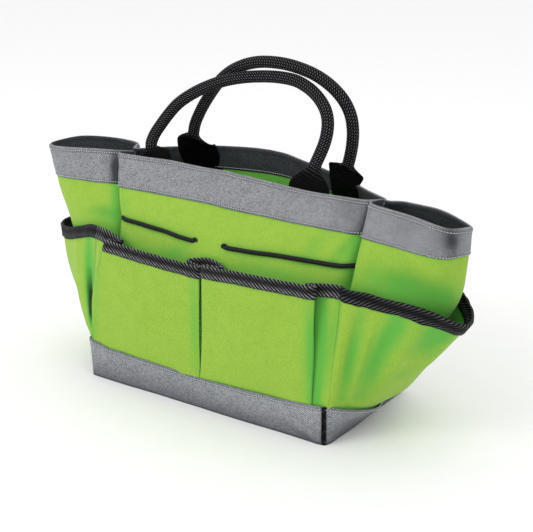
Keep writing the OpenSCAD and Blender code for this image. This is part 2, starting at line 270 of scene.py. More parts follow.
def tube(line, radius, sides, closed=False, up=None):
    """Loops of points round a polyline; radius may be one number per point."""
    line = np.asarray(line, float)
    if closed:
        t = unit(np.roll(line, -1, 0) - np.roll(line, 1, 0))
    else:
        t = unit(np.gradient(line, axis=0))
    side = unit(np.cross(t, UP if up is None else up))
    over = np.cross(side, t)
    q = np.arange(sides) * 2 * math.pi / sides
    r = np.broadcast_to(np.asarray(radius, float), len(line))[:, None, None]
    ring = np.cos(q)[None, :, None] * side[:, None] + np.sin(q)[None, :, None] * over[:, None]
    return line[:, None] + r * ring


STITCH, STITCH_GAP = 1.7, 1.1


def stitches(name, rows, material, radius=0.5, **kw):
    """Thread showing along polylines: rows is a list of (points, normals). One mesh of many short loops."""
    verts, faces, weave = [], [], []
    sides = 5
    profile = [(0.0, 0.4, -0.25), (0.25, 1.0, 0.3), (0.75, 1.0, 0.3), (1.0, 0.4, -0.25)]
    q = np.arange(sides) * 2 * math.pi / sides
    for line, normal in rows:
        at, index = resampled(line, STITCH + STITCH_GAP)
        i = np.clip(index.astype(int), 0, len(line) - 2)
        f = (index - i)[:, None]
        n = unit(normal[i] * (1 - f) + normal[i + 1] * f)
        t = unit(line[i + 1] - line[i])
        s = np.cross(n, t)
        for k in range(len(at)):
            base = len(verts)
            for along, r, lift in profile:
                c = at[k] + t[k] * (along - 0.5) * STITCH + n[k] * lift * radius
                ring = c + radius * max(r, 0.25) * (np.cos(q)[:, None] * s[k] + np.sin(q)[:, None] * n[k])
                verts += ring.tolist()
                weave += [[along * STITCH, a * radius, 0] for a in q]
            m = len(profile)
            for a in range(m - 1):
                for b in range(sides):
                    e = (b + 1) % sides
                    faces.append([base + a * sides + b, base + a * sides + e,
                                  base + (a + 1) * sides + e, base + (a + 1) * sides + b])
            faces.append([base + b for b in reversed(range(sides))])
            faces.append([base + (m - 1) * sides + b for b in range(sides)])
    return piece(name, verts, faces, material, weave, **kw)


# ---------------------------------------------------------------- materials
def srgb(r, g, b):
    """A colour given as screen values from 0 to 255, as the linear one that shaders take."""
    def lin(c):
        c /= 255
        return c / 12.92 if c <= 0.04045 else ((c + 0.055) / 1.055) ** 2.4
    return (lin(r), lin(g), lin(b), 1.0)


class Shader:
    """A material under construction, with a short call for each kind of node."""

    def __init__(self, name):
        self.material = bpy.data.materials.new(name)
        self.material.use_nodes = True
        self.tree = self.material.node_tree
        self.tree.nodes.clear()

    def add(self, kind, inputs=None, **props):
        node = self.tree.nodes.new(kind)
        for key, value in props.items():
            setattr(node, key, value)
        for key, value in (inputs or {}).items():
            socket = node.inputs[key]
            if isinstance(value, bpy.types.NodeSocket):
                self.tree.links.new(value, socket)
            else:
                socket.default_value = value
        return node

    def math(self, op, a, b=0.0, c=0.0):
        return self.add("ShaderNodeMath", {0: a, 1: b, 2: c}, operation=op).outputs[0]

    def mix(self, fac, a, b):
        return self.add("ShaderNodeMix", {0: fac, 6: a, 7: b}, data_type="RGBA").outputs[2]

    def ramp(self, value, low, high, to_low=0.0, to_high=1.0):
        return self.add("ShaderNodeMapRange", {0: value, 1: low, 2: high, 3: to_low, 4: to_high}).outputs[0]

    def wave(self, value, pitch, shift=0.0):
        """A sine from 0 to 1 with that pitch."""
        angle = self.math("MULTIPLY_ADD", value, 2 * math.pi / pitch, shift)
        return self.math("MULTIPLY_ADD", self.math("SINE", angle), 0.5, 0.5)

    def noise(self, vector, scale, detail=2.0):
        return self.add("ShaderNodeTexNoise", {"Vector": vector, "Scale": scale, "Detail": detail}).outputs[0]

    def threads(self):
        vector = self.add("ShaderNodeAttribute", attribute_name="weave").outputs["Vector"]
        parts = self.add("ShaderNodeSeparateXYZ", {0: vector})
        # the third thread coordinate is the depth of painted shade
        self.tone = parts.outputs[2]
        return vector, parts.outputs[0], parts.outputs[1]

    def stretched(self, vector, sx, sy):
        return self.add("ShaderNodeMapping", {"Vector": vector, "Scale": (sx, sy, 1.0)}).outputs[0]

    def finish(self, colour, height, rough, distance, strength=1.0, **sockets):
        bump = self.add("ShaderNodeBump", {"Height": height, "Distance": distance, "Strength": strength})
        shader = self.add("ShaderNodeBsdfPrincipled",
                          {"Base Color": colour, "Roughness": rough, "Normal": bump.outputs[0]})
        for key, value in sockets.items():
            shader.inputs[key.replace("_", " ")].default_value = value
        out = self.add("ShaderNodeOutputMaterial")
        self.tree.links.new(shader.outputs[0], out.inputs[0])
        return self.material


YARN = 1.1
# near-black green of painted shadow, for the deepest painted shade
PAINTED_SHADOW_BLACK = srgb(18, 48, 14)


def canvas(name, light, dark, fleck, amount, painted_shade_colour=None, rough=0.8, bump=0.0002, grain=0.5, cloud=0.6,
           fleece=0.5):
    """Plain-weave polyester canvas: threads both ways with slubs, a mottle of yarns, and soft unevenness.

    The painted shade colour is the colour that hollows, found by an ambient-occlusion term, and parts given
    painted shade go to; the deepest painted shade goes on to a near-black painted shadow.
    """
    s = Shader(name)
    vector, x, y = s.threads()
    weave = s.math("MULTIPLY", s.wave(x, YARN * 2), s.wave(y, YARN * 2, math.pi / 2))
    other = s.math("MULTIPLY", s.wave(x, YARN * 2, math.pi), s.wave(y, YARN * 2, -math.pi / 2))
    cloth = s.math("ADD", weave, other)
    warp = s.noise(s.stretched(vector, 0.9, 0.1), 1.0)
    weft = s.noise(s.stretched(vector, 0.1, 0.9), 1.0)
    slub = s.math("MULTIPLY_ADD", s.math("ADD", warp, weft), 1.6, -1.1)
    cell = s.add("ShaderNodeVectorMath", {0: vector, 1: (YARN, YARN, 4.0)}, operation="SNAP").outputs[0]
    heather = s.math("SUBTRACT", s.add("ShaderNodeTexWhiteNoise", {"Vector": cell}).outputs["Value"], 0.5)
    flecks = s.ramp(s.noise(s.stretched(vector, 0.75, 0.4), 1.0, 3.0), 0.45, 0.62)
    place = s.add("ShaderNodeTexCoord").outputs["Object"]
    broad = s.noise(place, 14.0, 3.0)
    patchy = s.noise(place, 85.0, 3.0)
    shade = s.math("MULTIPLY_ADD", slub, amount, s.math("MULTIPLY_ADD", broad, 0.35, 0.325))
    shade = s.math("MULTIPLY_ADD", s.math("SUBTRACT", cloth, 0.5), grain, shade)
    shade = s.math("MULTIPLY_ADD", s.math("SUBTRACT", patchy, 0.5), cloud, shade)
    shade = s.math("MULTIPLY_ADD", heather, fleece, shade)
    colour = s.mix(s.ramp(shade, 0.1, 0.9), dark, light)
    colour = s.mix(s.math("MULTIPLY", flecks, amount * 0.6), colour, fleck)
    # painted shade: an ambient-occlusion term and the painted shade depth darken the colour toward the
    # painted shade colour, and past 1 toward a near-black painted shadow
    if painted_shade_colour:
        hollow = s.add("ShaderNodeAmbientOcclusion", {"Distance": 0.03}, samples=6)
        bare = s.math("SUBTRACT", s.ramp(hollow.outputs["AO"], 0.3, 0.95), s.tone)
        colour = s.mix(s.ramp(bare, 0.0, 1.0), painted_shade_colour, colour)
        colour = s.mix(s.ramp(s.tone, 1.0, 2.0), colour, PAINTED_SHADOW_BLACK)
    height = s.math("MULTIPLY_ADD", slub, 0.5, cloth)
    return s.finish(colour, height, rough, bump, 0.7, Sheen_Weight=0.1, Sheen_Roughness=0.5,
                    Specular_IOR_Level=0.25)


def ribbed(name, light, dark, pitch, lean, cross, rough=0.6, bump=0.0004, gloss=0.2, sharp=1.4):
    """Woven tape: ribs that lean by lean across the tape, broken up by threads that cross every cross mm."""
    s = Shader(name)
    vector, x, y = s.threads()
    slant = s.math("MULTIPLY_ADD", y, lean, x)
    rib = s.wave(slant, pitch)
    knots = s.math("MULTIPLY", rib, s.math("MULTIPLY_ADD", s.wave(y, cross), 0.6, 0.4))
    height = s.math("ADD", rib, s.math("MULTIPLY", knots, 0.5))
    uneven = s.noise(vector, 0.35, 3.0)
    # painted highlight: the crests of the ribs take the light colour and the rest the dark one, less where
    # painted shade is given
    shade = s.math("MULTIPLY", s.math("POWER", knots, sharp), s.ramp(uneven, 0.3, 0.65, 0.55, 1.0))
    colour = s.mix(s.math("SUBTRACT", shade, s.tone), dark, light)
    return s.finish(colour, height, rough, bump, 0.8, Specular_IOR_Level=gloss)


def thread(name, light, dark):
    """Twisted sewing thread."""
    s = Shader(name)
    _, x, y = s.threads()
    twist = s.wave(s.math("MULTIPLY_ADD", y, 1.2, x), 0.6)
    colour = s.mix(twist, dark, light)
    return s.finish(colour, twist, 0.6, 0.0001, 0.5, Specular_IOR_Level=0.3)


# the last colour of each canvas is its painted shade colour for hollows
GREEN = canvas("green_canvas", srgb(151, 186, 64), srgb(128, 172, 50), srgb(163, 196, 82), 0.15,
               painted_shade_colour=srgb(92, 172, 62))
# painted light: a lighter copy of the green canvas for the inside faces, which sit in shade
GREEN_INSIDE_PAINTED_LIGHT = canvas("green_inside_painted_light", srgb(130, 212, 86), srgb(106, 198, 68), srgb(148, 220, 100), 0.15,
                painted_shade_colour=srgb(84, 180, 62))
GREY = canvas("grey_canvas", srgb(157, 159, 164), srgb(78, 80, 84), srgb(180, 182, 187), 0.15, rough=0.85,
              painted_shade_colour=srgb(54, 56, 60), bump=0.0003, grain=1.3, cloud=0.35, fleece=0.7)
# painted shade: a darker copy of the grey canvas for the inside of the folded rim band
HEM_GREY_PAINTED_SHADE = canvas("hem_canvas_painted_shade", srgb(70, 74, 78), srgb(26, 29, 32), srgb(92, 96, 100), 0.15, rough=0.9,
                  painted_shade_colour=srgb(30, 32, 34), bump=0.0003, grain=1.3, fleece=0.7)
BASE_GREY = canvas("base_canvas", srgb(167, 169, 175), srgb(80, 83, 89), srgb(182, 184, 189), 0.15,
                   rough=0.85, painted_shade_colour=srgb(56, 58, 62), bump=0.0003, grain=1.3, cloud=0.35, fleece=0.7)
FLOOR_FABRIC = canvas("base_fabric", srgb(70, 71, 74), srgb(48, 49, 52), srgb(92, 93, 96), 0.4, rough=0.85)
# the light colour of each tape, the webbing and the cord is a painted highlight on its ribs
BINDING = ribbed("binding_tape", srgb(150, 150, 154), srgb(3, 3, 4), 4.4, 1.2, 11.0, gloss=0.1, sharp=2.2)
# the same tape at the ends, its ribs leaning the other way, with the rib crests painted darker as painted
# shade
END_BINDING_PAINTED_SHADE = ribbed("end_binding_tape_painted_shade", srgb(92, 92, 96), srgb(2, 2, 3), 4.4, -1.2, 11.0, gloss=0.1,
                     sharp=2.2)
WEBBING = ribbed("handle_webbing", srgb(138, 138, 143), srgb(2, 2, 3), 2.9, 0.9, 2.6, bump=0.0006,
                 gloss=0.07, sharp=3.6)
ELASTIC = ribbed("elastic_braid", srgb(48, 44, 50), srgb(4, 4, 5), 1.8, 0.8, 2.0, rough=0.45, bump=0.0002)
BOARD = canvas("board_cover", srgb(60, 61, 64), srgb(44, 45, 48), srgb(80, 81, 84), 0.4, rough=0.85)
GREY_THREAD = thread("grey_thread", srgb(226, 228, 232), srgb(180, 182, 186))
BLACK_THREAD = thread("black_thread", srgb(52, 52, 54), srgb(16, 16, 17))

# ---------------------------------------------------------------- the shell
HALF_LEN, HALF_DEP, BAND_TOP, FLARE, DROP, SAG = 145.0, 75.0, 36.0, 23.0, 11.0, 14.0
WAIST_Z, RIM_Z, COLUMN_STEP = 147.0, 226.0, 2.6
SHELL_THICK, POCKET_THICK = 1.6, 1.0
# depth of painted shade along the stitch rows of the bands
STITCH_ROW_PAINTED_SHADE = 0.5


def sagging(y):
    """Share of the sag at depth y, where the right end pocket hangs over the base band."""
    return np.sin(math.pi * np.clip((y + 15) / 90, 0, 1))


def base_ring(flare, z, drop, sag):
    """The outline of the foot, with both ends flared and dropped, and the right one sagging as well."""
    a, b = HALF_LEN, HALF_DEP

    def half(sag):
        rows = [(x, -b, z) for x in (14, 78, a - 8)] + [(a - 2, 2 - b, z)]
        for y in (-67, -42, -21, 0, 21, 42, 67):
            k = 1 - (y / b) ** 2
            rows.append((a + flare * k - sag * sagging(y), y, z - drop * k))
        return rows + [(a - 2, b - 2, z)] + [(x, b, z) for x in (a - 8, 78, 14)]
    return np.array([(0, -b, z)] + half(sag) + [(0, b, z)] + [(-x, -y, h) for x, y, h in half(0)], float)


WAIST = np.array([
    (0, -60, 147), (14, -60, 147), (78, -57, 147), (138, -51, 147), (152, -38, 147), (153, -53, 147),
    (182, -49, 145), (223, -35, 143), (240, -10, 143), (226, 14, 143), (188, 32, 145), (156, 44, 147),
    (148, 32, 147), (138, 56, 147), (78, 69, 147), (14, 73, 147), (0, 74, 147), (-14, 74, 147),
    (-78, 72, 147), (-138, 60, 147), (-149, 36, 147), (-154, 52, 147), (-182, 40, 145), (-208, 20, 143),
    (-220, -6, 143), (-204, -31, 143), (-166, -46, 145), (-131, -46, 147), (-119, -35, 147),
    (-117, -54, 147), (-78, -58, 147), (-14, -60, 147)], float)
RIM = np.array([
    (0, -11, 222.4), (14, -11, 222), (78, -13, 220.6), (143, -16, 220.4), (159, -2, 220), (151, -17, 219.5),
    (193, -25, 218), (235, -26, 211.5), (249, -12, 211.5), (240, 2, 210.5), (210, 6, 218),
    (172, 10, 217.7), (158, 5, 217), (146, 19, 215.5), (80, 48, 221), (14, 58, 232), (0, 59, 232.5),
    (-14, 60, 232), (-78, 58, 227.5), (-128, 40, 224), (-144, 7, 225), (-157, 25, 226.5), (-197, 33, 226),
    (-233, 22, 225), (-252, -3, 221), (-239, -19, 221.5), (-200, -17, 224), (-160, -9, 224.4),
    (-137, 0, 224), (-150, -13, 224), (-78, -10, 224.6), (-14, -10, 223.6)], float)
LEVELS = [base_ring(0, 0, 0, 0), base_ring(FLARE, BAND_TOP, DROP, SAG), WAIST, RIM]
SEAM = [4, 12, 20, 28]
RIM_BAND, HEM = 30.0, 22.5

ring_u = parameters(RIM, COLUMN_STEP, fewest=7)
seam_col = [nearest(ring_u, seam) for seam in SEAM]
row_z = np.concatenate([
    np.linspace(0, BAND_TOP, 9), np.linspace(BAND_TOP, WAIST_Z, 30)[1:],
    np.linspace(WAIST_Z, RIM_Z - RIM_BAND, 22)[1:], np.linspace(RIM_Z - RIM_BAND, RIM_Z - HEM, 6)[1:],
    np.linspace(RIM_Z - HEM, RIM_Z, 12)[1:]])
BAND_ROW, HEM_ROW = nearest(row_z, RIM_Z - RIM_BAND), nearest(row_z, RIM_Z - HEM)
TOP_ROW = len(row_z) - 1


def raised(rings, z):
    """Rows between four rings at heights 0, band top, waist and rim, bending smoothly at the waist."""
    marks = np.array([0, BAND_TOP, WAIST_Z, RIM_Z])
    slope = [(rings[i + 1] - rings[i]) / (marks[i + 1] - marks[i]) for i in range(3)]
    h1, h2 = marks[2] - marks[1], marks[3] - marks[2]
    waist = (slope[1] * h2 + slope[2] * h1) / (h1 + h2)
    ends = [(slope[0], slope[0]), (slope[1] * 0.75 + waist * 0.25, waist), (waist, slope[2])]
    rows = []
    for height in z:
        i = int(np.clip(np.searchsorted(marks, height, side="right") - 1, 0, 2))
        span = marks[i + 1] - marks[i]
        f = (height - marks[i]) / span
        a, b = ends[i]
        rows.append((2 * f**3 - 3 * f**2 + 1) * rings[i] + (f**3 - 2 * f**2 + f) * span * a
                    + (3 * f**2 - 2 * f**3) * rings[i + 1] + (f**3 - f**2) * span * b)
    return np.stack(rows, 1)


shell = relax(raised([smooth_at(r, ring_u) for r in LEVELS], row_z), 3)
shell_marks = [
    # the cord presses into the long sides
    ((-122, -44, 168), (-24, -48, 163), 6, -1.6), ((16, -49, 163), (140, -46, 166), 6, -1.8),
    ((-140, 58, 167), (-20, 72, 167), 6, -1.6), ((20, 72, 167), (140, 52, 167), 6, -1.6),
    # hollows on the lobes and drag lines from the seams
    ((-172, -28, 186), (-160, -34, 170), 12, -3.0), ((172, -44, 166), (228, -32, 152), 13, -4.5),
    ((-163, -40, 167), (-135, -39, 166), 6, -1.8), ((196, -36, 190), (224, -34, 172), 8, 2.0),
    ((-236, -14, 200), (-224, -24, 150), 9, 2.0), ((244, -18, 200), (242, -16, 168), 10, -3.6),
    ((143, -33, 188), (132, -43, 168), 5, -1.6), ((113, -35, 190), (102, -47, 164), 7, -1.2),
    ((-140, -24, 205), (-132, -45, 160), 7, 1.6), ((128, -26, 205), (134, -44, 160), 8, 1.4),
    ((-21, -49, 164), (-46, -34, 188), 6, 0.9), ((13, -49, 164), (44, -36, 188), 7, 0.8),
    ((-100, -20, 214), (-60, -40, 180), 14, -1.0), ((60, -22, 212), (96, -40, 176), 14, -1.0),
]
proud = ridges(shell, shell_marks) + ripples(shell, 5, 70, 0.55) + ripples(shell, 7, 26, 0.14)
shell = shell + normals(shell) * proud[..., None]
# the rim wanders in height, fading out downward
shell[..., 2] += ripples(shell, 41, 60, 0.6) * np.clip((row_z - 150) / 76, 0, 1)
shell_n = normals(shell)
# painted shade: soft darker patches painted in the folds and hollows of the shell, on the rim band at the
# lobes, and down the folds beside the lobes
shell_painted_shade = np.clip(ridges(shell, [
    ((132, -17, 228), (130, -20, 196), 16, 0.32), ((236, -24, 218), (232, -26, 190), 10, 0.45),
    ((196, -25, 222), (190, -28, 190), 12, 0.2),
    ((176, -44, 161), (228, -30, 153), 15, 0.95), ((228, -30, 153), (240, -14, 146), 12, 0.6),
    ((236, -24, 214), (238, -22, 190), 6, 0.7), ((-163, -40, 168), (-138, -38, 166), 8, 0.7),
    ((-147, -24, 200), (-134, -40, 152), 5, 0.9), ((-129, -34, 190), (-119, -43, 176), 7, 0.35),
    ((145, -24, 216), (150, -44, 160), 5, 0.9), ((143, -33, 188), (132, -43, 168), 7, 0.6),
    ((113, -35, 190), (102, -47, 164), 8, 0.35), ((-30, -57, 153), (-54, -60, 146), 7, 0.5),
    ((40, -57, 150), (110, -54, 150), 6, 0.35), ((-156, -12, 222), (-148, -20, 198), 6, 1.3)]), 0, 1)

SIDES = {"front": (3, 0), "right_end": (0, 1), "back": (1, 2), "left_end": (2, 3)}


def on_side(grid, side, cols):
    a, b = SIDES[side]
    return columns(grid, cols[a], cols[b])


def by_side(grid, normal, cols):
    """Each side's name and short name, with its columns of a closed grid and of the grid's normals."""
    for side in SIDES:
        yield side, side.replace("_end", ""), on_side(grid, side, cols), on_side(normal, side, cols)


for side, short, g, n in by_side(shell, shell_n, seam_col):
    tone = on_side(shell_painted_shade, side, seam_col)
    path = sheeted(0, TOP_ROW, 0.0, -SHELL_THICK)
    panel = loft(side + "_shell", layered(g, n, path), GREEN, tone=tone[:, [p[0] for p in path]], even=False,
                 node=side + "_panel", slot="shell_fabric")
    # the inside faces are painted lighter green, as painted light
    recoloured_between(panel, len(path), len(path) // 2, len(path) - 1, GREEN_INSIDE_PAINTED_LIGHT)
    path = folded(BAND_ROW, TOP_ROW, HEM_ROW, outer=1.1, inner=-2.7, thick=0.9, rise=1.6)
    # painted shade along the rim band's outer stitch rows
    shade_at_stitch_rows = tone.copy()
    shade_at_stitch_rows[:, [BAND_ROW + 1, TOP_ROW - 1]] += STITCH_ROW_PAINTED_SHADE
    shade_at_stitch_rows = np.minimum(shade_at_stitch_rows, 1)
    rim = loft(short + "_rim", layered(g, n, path), GREY, tone=shade_at_stitch_rows[:, [p[0] for p in path]],
               node=short + "_rim_band", slot="grey_band")
    past_crest = TOP_ROW - BAND_ROW + FOLD_POINTS // 2 + 1
    # the inside of the folded band is painted darker grey, as painted shade
    recoloured_between(rim, len(path), past_crest, len(path) // 2, HEM_GREY_PAINTED_SHADE)

THREAD_OUT, THREAD_IN = 1.2, -2.8
rim_rows = []
for row, off in ((BAND_ROW + 1, THREAD_OUT), (TOP_ROW - 1, THREAD_OUT), (HEM_ROW + 1, THREAD_IN)):
    for _, _, g, n in by_side(shell, shell_n, seam_col):
        rim_rows.append((g[:, row] + off * n[:, row], np.sign(off) * n[:, row]))
stitches("rim_stitching", rim_rows, GREY_THREAD, slot="grey_band")

# ---------------------------------------------------------------- the pocket ring
# Each row: lip x y z, foot x y z, belly, and how late a fold leaves its foot line on the way up.
# The long side runs from the left corner to the right corner.
LONG_SIDE = [
    (-140, -61, 158.5, -144, -72.5, 36, 1, 1), (-127, -63.5, 158, -141, -73.2, 36, 0, 2.4),
    (-111, -65.5, 155, -138, -73.6, 36, 0, 2.6), (-102, -68, 153.5, -136, -74.2, 36, 0, 2.6),
    (-106, -70.5, 153, -137.5, -74.7, 36, 0, 2.6), (-112, -72, 152.8, -139.5, -75, 36, 0, 2.6),
    (-116, -74.5, 152.7, -141, -75.6, 36, 0, 2.5), (-111, -77, 152.6, -138, -76.2, 36, 0.3, 2.4),
    (-98, -78, 152, -112, -76.4, 37, 1, 1.3), (-58, -78.5, 149.8, -62, -76.4, 36, 1.5, 1),
    (-24, -77.5, 147.6, -24, -76.4, 35, 1.5, 1), (-6, -77, 146.2, -5, -76.4, 34.5, 0.7, 1),
    (1, -75.3, 146, -0.5, -75.9, 34.5, 0, 1), (-2, -71.5, 146, -1.2, -75, 34.5, 0, 1),
    (-13, -69.5, 146.6, -3.5, -74.6, 34.5, 0, 1), (-19, -67.5, 147.4, -5, -74.2, 34.5, 0, 1),
    (-14, -65.5, 149, -3.5, -73.8, 34.5, 0, 1), (2, -64.6, 152.3, 0, -73.6, 34.5, 0, 1),
    (17, -65.5, 150, 3.5, -73.8, 34.5, 0, 1), (22.5, -67.5, 148.6, 5, -74.2, 34.5, 0, 1),
    (16, -69.5, 148, 3.5, -74.6, 34.5, 0, 1), (6, -71.5, 148, 1.6, -75, 34.5, 0, 1),
    (3.6, -75.3, 148, 0.9, -75.9, 34.5, 0, 1), (10, -77, 148.4, 6, -76.4, 35, 0.7, 1),
    (34, -78.5, 150, 34, -76.4, 35.5, 1.5, 1), (66, -79, 151.6, 66, -76.4, 36, 1.5, 1),
    (100, -78, 151.8, 100, -76.4, 37.5, 1, 1), (124, -77, 152, 122, -76.4, 38.5, 0.4, 1),
    (131, -74.8, 152.2, 129.5, -75.9, 38.9, 0, 1), (126, -71, 152, 127, -75.2, 38.9, 0, 1),
    (118, -69, 151, 125, -74.8, 38.9, 0, 1), (120, -66.3, 151, 126, -74.4, 38.9, 0, 1),
    (130, -65.3, 152.3, 133, -74.6, 39.4, 0, 1), (143, -65, 153.6, 141, -74.8, 40, 0.5, 1),
    (153, -64.5, 154, 146.5, -73.5, 40, 0, 1),
]
RIGHT_END = [
    (157, -67, 153.2, 148, -71, 37.5, 1, 1), (168, -65.5, 152.5, 150.5, -65, 35, 2, 1),
    (177, -62.5, 151.5, 153.5, -58, 32.5, 2, 1), (190, -60.5, 149.8, 157, -50, 30, 3, 1),
    (207, -59, 148.8, 160.8, -42, 28.5, 4, 1), (225, -54, 145, 163.7, -32, 27, 5, 1),
    (240, -47.5, 139.5, 166, -22, 26, 5, 1), (250.5, -38, 132.5, 167.2, -12, 25.3, 5, 1),
    (256, -27, 127.3, 168, -3, 25, 5, 1), (256, -14, 127, 168, 6, 25.1, 5, 1),
    (251, -1, 130.5, 167.2, 14, 25.5, 5, 1), (240, 12, 134, 165.4, 24, 26.2, 5, 1),
    (228, 23, 138, 163, 34, 27.4, 4, 1), (206, 42, 143, 159.5, 44, 29, 4, 1),
    (178, 57, 147, 154, 58, 31.7, 3, 1), (157, 65, 147, 148.8, 68, 34.6, 1, 1),
]
LEFT_END = [
    (-150, 66, 148, -146.5, 70.5, 35.2, 1, 1), (-166, 61, 147, -150, 66, 33.8, 3, 1),
    (-184, 52, 145, -154.5, 56, 31.2, 5, 1), (-203, 40, 142.5, -160, 44.5, 28.7, 8, 1),
    (-219, 27, 139.5, -164.5, 28.5, 26.6, 10, 1), (-230, 12, 138.5, -167, 14, 25.5, 11, 1),
    (-234, -4, 138.5, -168, 1, 25, 11, 1), (-230, -18, 138, -167.6, -10, 25.2, 11, 1),
    (-222, -27.5, 138, -166, -20, 25.8, 11, 1), (-210, -34.5, 138.8, -163, -32, 27, 11, 1),
    (-198, -40, 142, -160, -43, 28.7, 11, 1), (-186, -45, 146.3, -157, -52, 30.5, 10, 1),
    (-170, -52, 152.5, -153, -60, 32.8, 8, 1), (-155, -57, 157, -149, -67, 35, 4, 1),
]


def turned_side(rows):
    """The back long side: the front one turned about Z, kept clear of the back panel."""
    out = []
    for x, y, z, fx, fy, fz, belly, lag in rows:
        out.append((-x, 75.5 + 0.75 * (-y - 64) - 8 * (abs(x) / 147) ** 4, z - 2, -fx, -fy, fz, belly, lag))
    return out


ring = np.array(LONG_SIDE + RIGHT_END + turned_side(LONG_SIDE) + LEFT_END, float)
sag = SAG * sagging(ring[:, 4]) * (ring[:, 3] > 150)
ring[:, 3] -= sag
ring = np.column_stack([ring, sag])
pocket_u = parameters(ring[:, :3], COLUMN_STEP)
long_n, right_n = len(LONG_SIDE), len(RIGHT_END)
corner = [long_n - 1, long_n + right_n, 2 * long_n + right_n - 1, 0]
corner_col = [nearest(pocket_u, c) for c in corner]
lip, foot, extra = (smooth_at(ring[:, a:b], pocket_u) for a, b in ((0, 3), (3, 6), (6, 9)))
belly, lag, hang = extra[:, :1], np.maximum(extra[:, 1:2], 1), extra[:, 2:]
BINDING_H, LIP_RISE, TUCK, PAINTED_LIGHT_ROWS = 10.5, 111.0, 6.0, 9
steps = np.concatenate([np.linspace(-TUCK, 0, 3), np.linspace(0, LIP_RISE - BINDING_H, 38)[1:],
                        np.linspace(LIP_RISE - BINDING_H, LIP_RISE, 7)[1:]]) / LIP_RISE
TAPE_ROW = nearest(steps, 1 - BINDING_H / LIP_RISE)
LIP_ROW = len(steps) - 1
wander = ripples(lip[:, None], 31, 42, 0.75)
across = unit(np.roll(lip, -1, 0) - np.roll(lip, 1, 0))
outward = unit(np.stack([across[:, 1], -across[:, 0], 0 * across[:, 0]], -1))
outward = unit(relax(outward, 30))
lip = lip + wander * (0.8 * UP + 0.8 * outward)
pocket = foot[:, None] + (lip - foot)[:, None] * steps[None, :, None]
late = np.sign(steps) * np.abs(steps)[None] ** lag
pocket[..., :2] = foot[:, None, :2] + (lip - foot)[:, None, :2] * late[..., None]
rise = np.maximum(steps, 0)
swell = (2.9 * rise ** 0.6 * (1 - steps))[None, :, None] * belly[:, None]
low_down = rise / 0.12
swell = swell + (low_down * np.exp(1 - low_down))[None, :, None] * hang[:, None]
pocket = relax(pocket + swell * outward[:, None], 2)
pocket_marks = [
    # right end: folds that fan out from the foot
    ((158, -69, 138), (149, -72, 46), 5, 2.2), ((171, -64, 134), (153, -64, 45), 4, -2.4),
    ((184, -61, 128), (159, -58, 43), 3, 3.6), ((205, -58, 135), (166, -48, 43), 7, -3.4),
    ((225, -52, 132), (186, -40, 60), 6, 3.4), ((240, -38, 122), (222, -38, 102), 9, -2.2),
    ((168, -64, 146), (176, -62, 126), 4, 2.0), ((232, -24, 96), (208, -22, 72), 7, 1.8),
    # left end
    ((-154, -60, 140), (-146, -68, 55), 5, -3.2), ((-153, -63, 110), (-144, -69, 45), 2.6, -6.5),
    ((-178, -52, 136), (-158, -56, 50), 9, 2.6), ((-226, -30, 128), (-176, -34, 50), 12, 2.2),
    # front
    ((-138, -75, 130), (-142, -76, 60), 5, 1.0), ((-60, -79, 130), (-70, -77, 60), 26, 1.0),
    ((60, -79, 120), (76, -77, 60), 28, 1.0), ((108, -77, 130), (116, -77, 60), 5, 1.0),
    ((128, -66, 130), (134, -74, 60), 6, 1.0),
]
pocket = pocket + normals(pocket) * (ridges(pocket, pocket_marks) + ripples(pocket, 11, 60, 0.5))[..., None]


PLEAT_REACH, PLEAT_FADE, CLEARANCE = 30.0, 8.0, 1.6


def kept_outside(points):
    """The grid with the middle pleats of the long sides moved outward where they near or pass the shell.

    A point 1.5 mm inside the shell's surface goes 0.6 mm outside it, and one at the clearance stays.
    """
    tree = KDTree(shell[..., 0].size)
    for k, p in enumerate(shell.reshape(-1, 3)):
        tree.insert(p, k)
    tree.balance()
    flat_n = shell_n.reshape(-1, 3)
    points = points.copy()
    for k, r in np.argwhere(abs(points[..., 0]) < PLEAT_REACH):
        near, index, _ = tree.find(points[k, r])
        gap = (points[k, r] - np.array(near)) @ flat_n[index]
        weight = min((PLEAT_REACH - abs(points[k, r, 0])) / PLEAT_FADE, 1)
        if gap < CLEARANCE:
            points[k, r] += weight * (0.6 + (gap + 1.5) / 3.1 - gap) * flat_n[index]
    return points


pocket = kept_outside(pocket)
pocket_n = normals(pocket)
# painted shade: darker green painted in the valleys and pleats of the pocket ring
pocket_painted_shade = np.clip(ridges(pocket, [
    ((-153, -61, 150), (-143, -71, 45), 7, 1.3), ((-153, -63, 112), (-144, -69, 45), 3, 1.6),
    ((-160, -57, 148), (-152, -62, 80), 6, 0.6),
    ((-126, -77, 150), (-136, -76, 50), 5, 0.35), ((-6, -78, 142), (-5, -77, 42), 5, 0.6),
    ((126, -70, 148), (130, -75, 42), 7, 1.4), ((136, -66, 150), (135, -74, 42), 6, 1.1),
    ((150, -65, 150), (143, -74, 60), 5, 0.5),
    ((172, -63, 134), (154, -63, 45), 5, 0.9), ((203, -58, 136), (166, -49, 46), 9, 1.0),
    ((214, -56, 138), (196, -50, 110), 9, 0.7), ((246, -40, 128), (226, -38, 108), 15, 1.5),
    ((206, -34, 76), (190, -38, 66), 8, 0.4)]), 0, 1)
